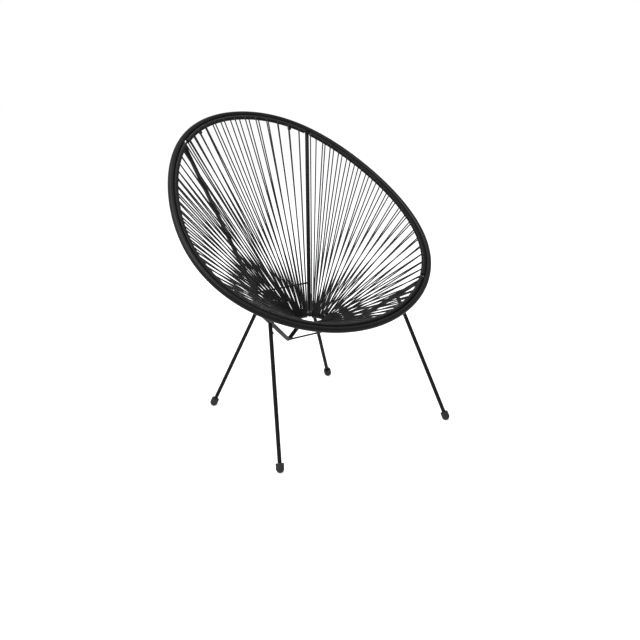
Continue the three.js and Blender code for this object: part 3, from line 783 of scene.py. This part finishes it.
def angle_at_length(length):
    """Angle at a length along the cord rod from the top, in either direction."""
    wanted = length % rod_lengths[-1]
    i = next((i for i in range(ROD_SAMPLES) if rod_lengths[i + 1] > wanted), ROD_SAMPLES - 1)
    share = (wanted - rod_lengths[i]) / (rod_lengths[i + 1] - rod_lengths[i])
    return math.tau * (i + share) / ROD_SAMPLES


def square_frame(point, tangent, towards, upwards):
    """Directions square to a rod at a point: inward to the free run, and up from it."""
    inward = towards - point
    inward = (inward - tangent * inward.dot(tangent)).normalized()
    top = tangent.cross(inward).normalized()
    return point, inward, top if top.dot(upwards) > 0 else -top


def rim_frame(length, ring_angle):
    """Square directions on the cord rod, for a strand that runs to an angle on the ring."""
    point, tangent, _ = rim_place(angle_at_length(length), CORD_ROD_INSET)
    return square_frame(point, tangent, ring_point(ring_angle), RIM_NORMAL)


def ring_frame(ring_angle, length):
    """Square directions on the ring, for a strand that runs to a length along the cord rod."""
    tangent = Vector((math.cos(ring_angle), -math.sin(ring_angle), 0))
    rod = rim_place(angle_at_length(length), CORD_ROD_INSET)[0]
    return square_frame(ring_point(ring_angle), tangent, rod, Vector((0, 0, 1)))


def wrap_point(square, radius, turn):
    """Point on a turn of cord: 0 on the free run's side, pi / 2 on top, pi on the far side."""
    point, inward, top = square
    return point + inward * (radius * math.cos(turn)) + top * (radius * math.sin(turn))


RIM_WRAP = CORD_ROD_RADIUS + CORD_RADIUS + CORD_TOUCH
RING_WRAP = RING_ROD_RADIUS + CORD_RADIUS + CORD_TOUCH
TOP = math.pi / 2
UNDER = -math.pi / 2


def wound(start, end, turns, ring_angle, first_turn=UNDER):
    """Turns of cord on the rod between two lengths, each up its far side and down its near one."""
    steps = round(2 * turns * HALF_TURN_STATIONS)
    path = []
    for i in range(steps + 1):
        square = rim_frame(blend(start, end, i / steps), ring_angle)
        path.append(wrap_point(square, RIM_WRAP, first_turn - math.tau * turns * i / steps))
    return path


def half_round_ring(ring_in, ring_out, length, radius):
    """The half turn on the ring's inner side, from its top to its underside."""
    path = []
    for i in range(HALF_TURN_STATIONS + 1):
        share = i / HALF_TURN_STATIONS
        square = ring_frame(blend(ring_in, ring_out, share), length)
        path.append(wrap_point(square, radius, TOP + math.pi * share))
    return path


def turns_between(first, last, pitch):
    """Turns from under the rod at one length to its top at another, so always with a half."""
    return max(round(abs(last - first) / pitch - 0.5), 0) + 0.5


def laced_path(loops, start, end, first_out, pitch):
    """The cord of one section, and the stretches of the rod that its windings cover."""
    path, covered, before = [], [], start
    # With a first way out, the cord starts on the ring and comes to the rod from underneath.
    if first_out is not None:
        square = ring_frame(loops[0]["ring_in"] - RING_CORD_STEP, first_out)
        path = [wrap_point(square, RING_WRAP, math.pi + math.pi / 2 * i / HALF_TURN_STATIONS)
                for i in range(HALF_TURN_STATIONS + 1)]
        before = first_out
    for loop in loops:
        way_in = loop["rim_in"]
        path += wound(before, way_in, turns_between(before, way_in, pitch), loop["ring_in"])
        path += half_round_ring(loop["ring_in"], loop["ring_out"], way_in, loop["ring_wrap"])
        covered.append((before, way_in))
        before = loop["rim_out"]
    covered.append((before, end))
    return path + wound(before, end, turns_between(before, end, pitch), loops[-1]["ring_out"]), covered


def closing_turns(covered, ring_angles, pitch):
    """Turns that cover the rod between the stretches that the laced path covers."""
    for one, other, ring_angle in zip(covered, covered[1:], ring_angles):
        first, last = max(one), min(other)
        turns = round((last - first) / pitch - 0.5) + 0.5
        if turns > 0:
            yield wound(first, last, turns, ring_angle, TOP)


def bridging_loop(strut_length, strut_ring_angle):
    """The loop that spans a strut: in on its near side, round the ring over it, out beyond it."""
    way_in, way_out = strut_length - BRIDGE_BEFORE_STRUT, strut_length + BRIDGE_BEYOND_STRUT
    ring_in, ring_out = strut_ring_angle - BRIDGE_HALF_ON_RING, strut_ring_angle + BRIDGE_HALF_ON_RING
    return [*wound(way_in, way_in, 0.5, ring_in),
            *half_round_ring(ring_in, ring_out, way_in, RING_WRAP),
            *wound(way_out, way_out, 0.5, ring_out)]


def spread(ways):
    """Equally spaced places along the rod, from groups of (count, first, last)."""
    return [blend(first, last, i / max(count - 1, 1)) for count, first, last in ways for i in range(count)]


# The struts' places on rod and ring, once round the chair from the rear left strut.
marks = []
for place in ("rear_left", "rear_right", "front_right", "front_left", "rear_left"):
    angles = struts[place].rim_angle, struts[place].ring_angle
    if marks:
        angles = [angle + math.tau if angle < 0 else angle for angle in angles]
    marks.append((length_at_angle(angles[0]), angles[1]))

ring_cells = []
for section, (_, start), (_, end) in zip(SECTIONS.values(), marks, marks[1:]):
    width = (end - start - STRUT_LANE_ON_RING / RING_RADIUS) / section["on_arc"]
    first = start + STRUT_LANE_ON_RING / RING_RADIUS / 2
    ring_cells += [(first + width * (i + 0.5), width) for i in range(section["on_arc"])]

scatter = random.Random(LACING_SEED)
laced = {}
done = 0
for (name, section), (start, _), (end, _) in zip(SECTIONS.items(), marks, marks[1:]):
    start, end = start + STRUT_LANE_ON_ROD / 2, end - STRUT_LANE_ON_ROD / 2
    pitch = (end - start) / round((end - start) / (2 * CORD_RADIUS + CORD_TOUCH))
    # The windings are under the rod at whole turns from the section's start, and on top at halves.
    ways_in = [start + pitch * (round((way - start) / pitch - 0.5) + 0.5)
               for way in spread(section["ways_in"])]
    ways_out = [start + pitch * round((way - start) / pitch) for way in spread(section["ways_out"])]
    first_out = ways_out.pop(0) if len(ways_out) > len(ways_in) else None
    loops = []
    for i, (way_in, way_out) in enumerate(zip(ways_in, ways_out)):
        middle, width = ring_cells[done + i]
        middle += scatter.uniform(-1, 1) * RING_DRIFT_SHARE * width
        # Neighbours lie in two layers on the ring, which is too small for all side by side.
        loops.append({
            "rim_in": way_in,
            "rim_out": way_out,
            "ring_in": middle - width * RING_LOOP_SHARE,
            "ring_out": middle + width * RING_LOOP_SHARE,
            "ring_wrap": RING_WRAP + (done + i) % 2 * RING_LAYER_STEP,
        })
    done += len(loops)
    path, covered = laced_path(loops, start, end, first_out, pitch)
    closing = closing_turns(covered, [loop["ring_out"] for loop in loops], pitch)
    # One loop spans the rear left strut. It is a part of the left section's piece.
    bridges = [bridging_loop(*marks[-1])] if name == "left" else []
    piece = rods(f"cord_{name}", [path, *closing, *bridges], cord_plastic,
                 radius=CORD_RADIUS, sides=CORD_SIDES)
    place_piece(piece, "cord", *(f"lacing_{name}_{k + 1}" for k in range(section["panels"])))
    laced[name] = loops

# Knots: the back section's cord is tied off near both ends. Its end is turned round a strand
# close to the rod and pulled tight, and a short tail is left.
KNOTTED_LOOPS = (1, 11)
KNOT_TURNS = 1.75
KNOT_STATIONS = 26
KNOT_FROM_ROD = 0.004
KNOT_TAIL = 0.006


def tied_end(length, ring_angle):
    """A cord's end turned round the lower strand that leaves the rod at a length along it."""
    start = wrap_point(rim_frame(length, ring_angle), RIM_WRAP, UNDER)
    end = wrap_point(ring_frame(ring_angle, length), RING_WRAP, UNDER)
    way = (end - start).normalized()
    side = way.orthogonal().normalized()
    up = way.cross(side)
    path = []
    for i in range(KNOT_STATIONS + 1):
        share = i / KNOT_STATIONS
        a = math.tau * KNOT_TURNS * share
        middle = start + way * (KNOT_FROM_ROD + 2 * CORD_RADIUS * KNOT_TURNS * share)
        path.append(middle + (side * math.cos(a) + up * math.sin(a)) * (2 * CORD_RADIUS))
    return path + [path[-1] + (path[-1] - path[-2]).normalized() * KNOT_TAIL]


knotted = [laced["back"][i] for i in KNOTTED_LOOPS]
knots = rods("cord_knots", [tied_end(loop["rim_out"], loop["ring_out"]) for loop in knotted],
             cord_plastic, radius=CORD_RADIUS, sides=CORD_SIDES)
place_piece(knots, "cord")
